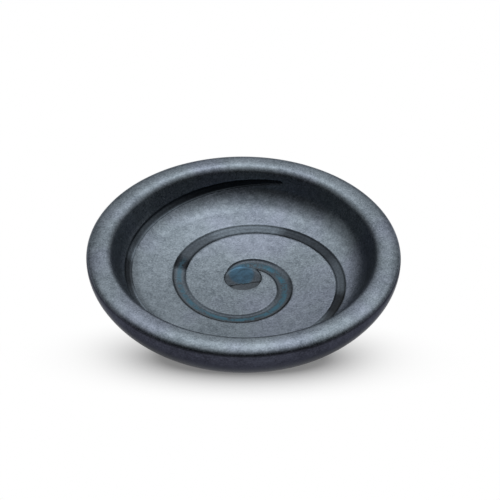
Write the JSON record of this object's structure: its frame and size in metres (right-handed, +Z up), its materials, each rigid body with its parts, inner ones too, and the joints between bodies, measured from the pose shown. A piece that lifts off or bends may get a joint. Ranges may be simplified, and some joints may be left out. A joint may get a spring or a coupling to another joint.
{
  "type": "sauce dish",
  "caption": "Small round stoneware dish with a wide rolled rim, a turned foot ring and a glazed spiral channel running out from a round eye in its floor.",
  "frame": {"origin": "middle of the dish on the surface that it stands on", "axes": "+Z up through the bowl, the camera of the picture looks along +Y, +X to its right; quarter 0 of the spiral points along +X and it runs clockwise seen from above"},
  "size_m": [0.095, 0.095, 0.02],
  "materials": {
    "bare_clay": "bare fired stoneware, fine and matt",
    "slate_glaze": "satin metallic blue-grey slate glaze with a fine pale speckle",
    "well_glaze": "satin slate glaze, a little thinner and darker",
    "channel_glaze": "glossy dark teal-grey glaze",
    "pool_glaze": "glossy thick blue glaze with a flat top"
  },
  "bodies": {
    "root": {"stoneware_body": "bare_clay", "slate_glaze_coat": "slate_glaze", "foot_well_glaze": "well_glaze", "spiral_glaze": "channel_glaze", "eye_glaze_pool": "pool_glaze"}
  },
  "joints": []
}
